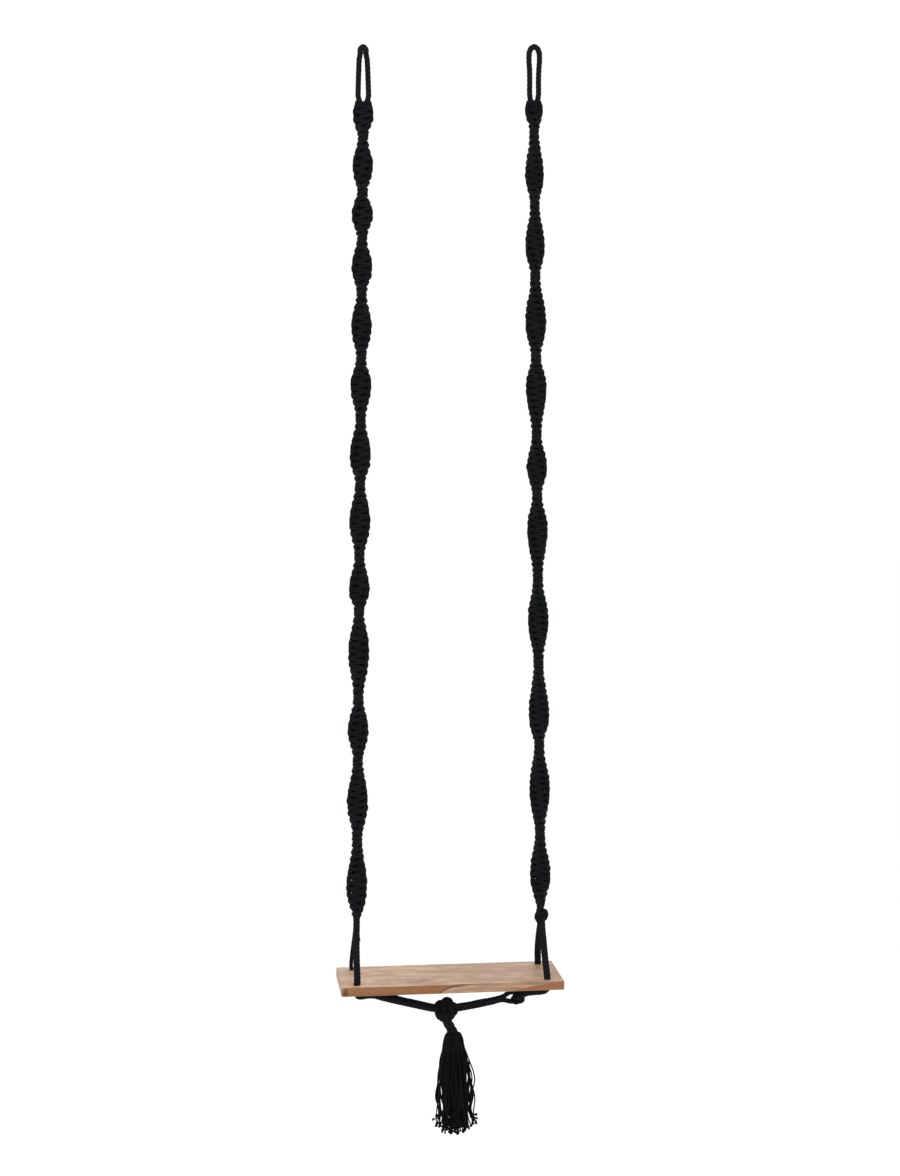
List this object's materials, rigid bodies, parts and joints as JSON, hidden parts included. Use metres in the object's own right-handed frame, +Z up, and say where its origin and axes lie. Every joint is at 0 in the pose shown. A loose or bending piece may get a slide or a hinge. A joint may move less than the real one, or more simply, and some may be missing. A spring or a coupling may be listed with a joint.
{
  "type": "macrame rope swing",
  "caption": "Plank swing seat hung on two twisted square-knot ropes with hanging loops, gathered below into a knot and a tassel.",
  "frame": {"origin": "midway between the two hanging loops, level with the inside of their tops, where the hooks bear", "axes": "+Z up, +X along the plank to the right as seen from the front, -Y the front"},
  "size_m": [0.45, 0.16, 2.196],
  "materials": {
    "cotton_cord": "matte black braided cotton cord",
    "knotted_cord": "matte black cotton cord in tight knots",
    "seat_wood": "oiled solid wood, satin"
  },
  "bodies": {
    "hanging_eyes": {"left_eye": "cotton_cord", "right_eye": "cotton_cord"},
    "left_collar": {"left_loop": "cotton_cord", "left_top_knot": "knotted_cord"},
    "right_collar": {"right_loop": "cotton_cord", "right_top_knot": "knotted_cord"},
    "left_rope": {"left_core_cord": "cotton_cord", "left_knotting_cord_a": "knotted_cord", "left_knotting_cord_b": "knotted_cord"},
    "right_rope": {"right_core_cord": "cotton_cord", "right_knotting_cord_a": "knotted_cord", "right_knotting_cord_b": "knotted_cord"},
    "left_knot": {"left_tie_knot": "knotted_cord"},
    "right_knot": {"right_tie_knot": "knotted_cord"},
    "seat": {"seat_plank": "seat_wood", "left_front_cord": "cotton_cord", "left_back_cord": "cotton_cord", "right_front_cord": "cotton_cord", "right_back_cord": "cotton_cord", "right_small_knot": "knotted_cord", "right_yoke": "cotton_cord", "middle_knot": "knotted_cord"},
    "neck": {"tassel_neck": "cotton_cord"},
    "tassel": {"tassel_crown": "knotted_cord", "tassel_inner_cords": "cotton_cord", "tassel_outer_cords": "cotton_cord", "tassel_end_knots": "knotted_cord"}
  },
  "joints": [
    {"name": "swing", "type": "hinge", "parent": "hanging_eyes", "child": "left_collar", "pos_m": [-0.169, 0, -0.032], "axis": [1, 0, 0], "range_deg": [-40, 40]},
    {"name": "swing_right", "type": "hinge", "parent": "hanging_eyes", "child": "right_collar", "pos_m": [0.169, 0, -0.032], "axis": [1, 0, 0], "range_deg": [-40, 40]},
    {"name": "side_sway", "type": "hinge", "parent": "left_collar", "child": "left_rope", "pos_m": [-0.169, 0, -0.112], "axis": [0, 1, 0], "range_deg": [-12, 12]},
    {"name": "side_sway_right", "type": "hinge", "parent": "right_collar", "child": "right_rope", "pos_m": [0.169, 0, -0.112], "axis": [0, 1, 0], "range_deg": [-12, 12]},
    {"name": "seat_level", "type": "hinge", "parent": "left_rope", "child": "left_knot", "pos_m": [-0.1885, 0, -1.726], "axis": [0, 1, 0], "range_deg": [-11, 11]},
    {"name": "seat_level_right", "type": "hinge", "parent": "right_rope", "child": "right_knot", "pos_m": [0.1885, 0, -1.726], "axis": [0, 1, 0], "range_deg": [-11, 11]},
    {"name": "seat_tilt", "type": "hinge", "parent": "left_knot", "child": "seat", "pos_m": [-0.1885, 0, -1.726], "axis": [1, 0, 0], "range_deg": [-25, 25]},
    {"name": "neck_swing", "type": "hinge", "parent": "seat", "child": "neck", "pos_m": [-0.005, 0, -1.949], "axis": [1, 0, 0], "range_deg": [-35, 35]},
    {"name": "tassel_sway", "type": "hinge", "parent": "neck", "child": "tassel", "pos_m": [0.009, 0, -1.974], "axis": [0, 1, 0], "range_deg": [-25, 25]}
  ],
  "couplings": [
    {"joint": "swing_right", "follows": "swing", "ratio": 1},
    {"joint": "side_sway_right", "follows": "side_sway", "ratio": 1},
    {"joint": "seat_level", "follows": "side_sway", "ratio": -0.89655},
    {"joint": "seat_level_right", "follows": "side_sway", "ratio": -0.89655}
  ]
}
